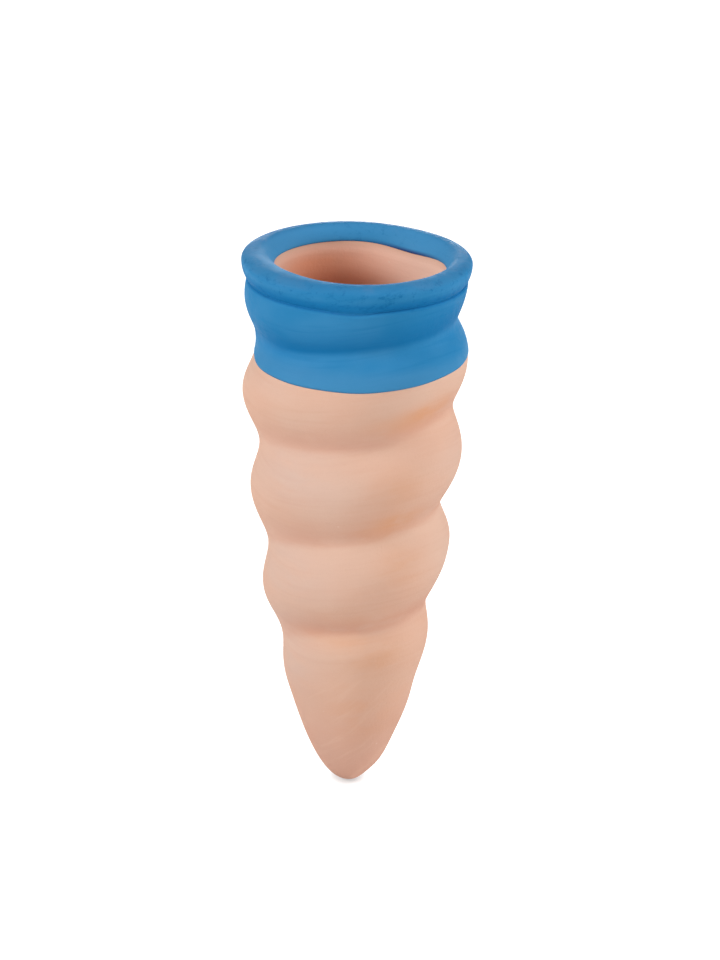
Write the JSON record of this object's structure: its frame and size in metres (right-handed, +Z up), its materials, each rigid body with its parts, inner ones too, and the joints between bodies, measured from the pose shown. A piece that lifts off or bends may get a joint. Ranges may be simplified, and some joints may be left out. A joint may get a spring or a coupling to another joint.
{
  "type": "watering spike",
  "caption": "Hollow tapered clay spike with a spiral swelling and a thick painted lip, pushed into potting soil to seep water from its open mouth.",
  "frame": {"origin": "on the mouth's axis, level with the lowest point of the tip", "axes": "+Z up along the mouth's axis, out of the mouth; -Y towards the picture's camera; +X to its right"},
  "size_m": [0.045, 0.045, 0.115],
  "materials": {
    "fired_clay": "unglazed, fine-grained matt terracotta",
    "blue_paint": "thin satin paint"
  },
  "bodies": {
    "root": {"clay_spike": "fired_clay", "blue_coat": "blue_paint"}
  },
  "joints": []
}
